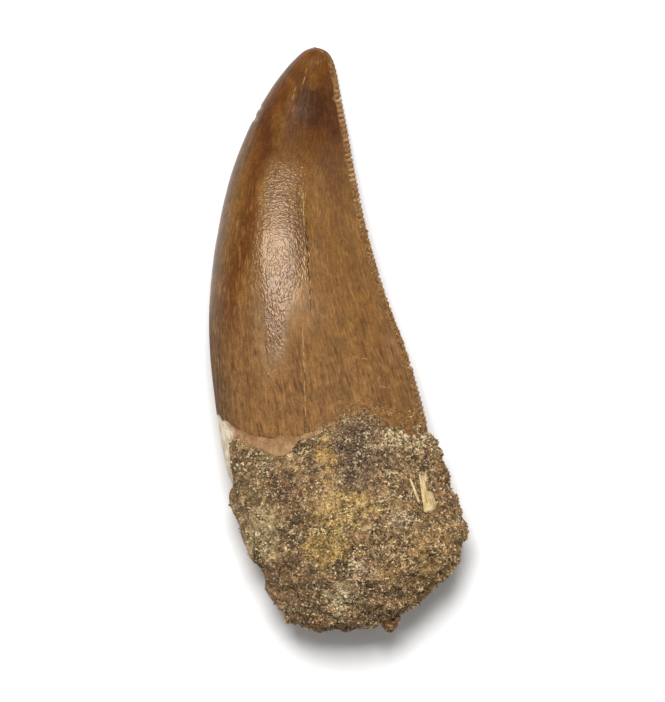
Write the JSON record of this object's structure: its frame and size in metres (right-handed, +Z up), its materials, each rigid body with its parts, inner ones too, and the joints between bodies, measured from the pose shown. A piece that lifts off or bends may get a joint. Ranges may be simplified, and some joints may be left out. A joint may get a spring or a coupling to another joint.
{
  "type": "fossil carnosaur tooth",
  "caption": "Fossil tooth of a large meat-eating dinosaur: recurved brown crown with a finely serrated rear edge, its root set in a crust of sandstone matrix.",
  "frame": {"origin": "on the resting surface, under the middle of the object's bounding box", "axes": "+Z up from the surface it lies on, +Y from the root to the crown's tip, +X to the serrated rear edge"},
  "size_m": [0.0332, 0.0754, 0.0155],
  "materials": {
    "fossil_tooth": "satin",
    "sandstone_matrix": "matte"
  },
  "bodies": {
    "root": {"tooth": "fossil_tooth", "matrix": "sandstone_matrix"}
  },
  "joints": []
}
